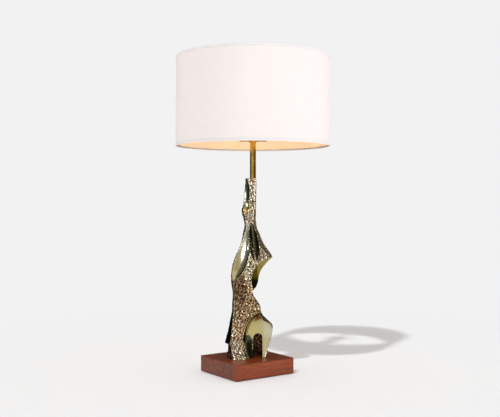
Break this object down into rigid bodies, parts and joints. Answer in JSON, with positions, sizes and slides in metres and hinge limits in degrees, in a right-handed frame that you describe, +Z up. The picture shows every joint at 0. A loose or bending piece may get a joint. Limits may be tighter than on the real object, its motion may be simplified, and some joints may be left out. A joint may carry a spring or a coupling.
{
  "type": "table lamp",
  "caption": "Table lamp: a tall abstract cast metal figure on a wooden block, brass neck, keyed lamp holder, harp and fabric drum shade.",
  "frame": {"origin": "where the lamp's upright axis through neck, lamp holder, harp and shade meets the table", "axes": "+Z up; +X along the block's length; +Y along the block's width towards its rear face"},
  "size_m": [0.4059, 0.406, 0.8425],
  "materials": {
    "felt": "dense wool felt",
    "walnut": "red-brown stained walnut, lacquered",
    "cast_metal": "cast metal, chiselled skin with polished hollows",
    "brass": "polished brass",
    "steel": "zinc-plated steel",
    "black_plastic": "moulded plastic",
    "fibre_board": "vulcanised fibre board",
    "moulded_insulation": "phenolic moulding",
    "bulb_glass": "frosted glass",
    "lamp_cap": "rolled aluminium",
    "shade_liner": "styrene shade liner",
    "shade_fabric": "off-white woven fabric",
    "shade_trim": "rolled fabric edge"
  },
  "bodies": {
    "lamp": {"felt_pad": "felt", "base_block": "walnut", "inlet_bushing": "black_plastic", "figure_casting": "cast_metal", "casting_bolts": "steel", "bolt_washers": "steel", "lamp_pipe": "steel", "neck_tube": "brass", "check_ring": "brass", "harp_saddle": "brass", "lock_nut": "brass", "socket_cap": "brass", "socket_shell": "brass", "socket_insulator": "fibre_board", "socket_body": "moulded_insulation", "screw_shell": "brass", "centre_contact": "brass", "terminal_screws": "steel", "harp_wire": "brass", "stud_base": "brass"},
    "key": {"switch_key": "black_plastic"},
    "bulb": {"bulb_glass": "bulb_glass", "bulb_cap": "lamp_cap", "bulb_tip": "lamp_cap"},
    "sleeve_left": {"harp_sleeve_left": "brass"},
    "sleeve_right": {"harp_sleeve_right": "brass"},
    "shade": {"swivel_stud": "brass", "spider": "brass", "top_ring": "steel", "bottom_ring": "steel", "shade_liner": "shade_liner", "shade_fabric": "shade_fabric", "top_trim": "shade_trim", "bottom_trim": "shade_trim"},
    "finial": {"finial": "brass"}
  },
  "joints": [
    {"name": "key_turn", "type": "hinge", "parent": "lamp", "child": "key", "pos_m": [0, 0, 0.631], "axis": [-0.5736, -0.8192, 0], "continuous": true},
    {"name": "bulb_turn", "type": "hinge", "parent": "lamp", "child": "bulb", "pos_m": [0, 0, 0.65], "axis": [0, 0, 1], "continuous": true},
    {"name": "sleeve_left_lift", "type": "slide", "parent": "lamp", "child": "sleeve_left", "axis": [0, 0, 1], "range_m": [0, 0.012]},
    {"name": "sleeve_right_lift", "type": "slide", "parent": "lamp", "child": "sleeve_right", "axis": [0, 0, 1], "range_m": [0, 0.012]},
    {"name": "shade_swivel", "type": "hinge", "parent": "lamp", "child": "shade", "pos_m": [0, 0, 0.812], "axis": [0, 0, 1], "continuous": true},
    {"name": "finial_turn", "type": "hinge", "parent": "shade", "child": "finial", "pos_m": [0, 0, 0.82], "axis": [0, 0, 1], "continuous": true}
  ]
}
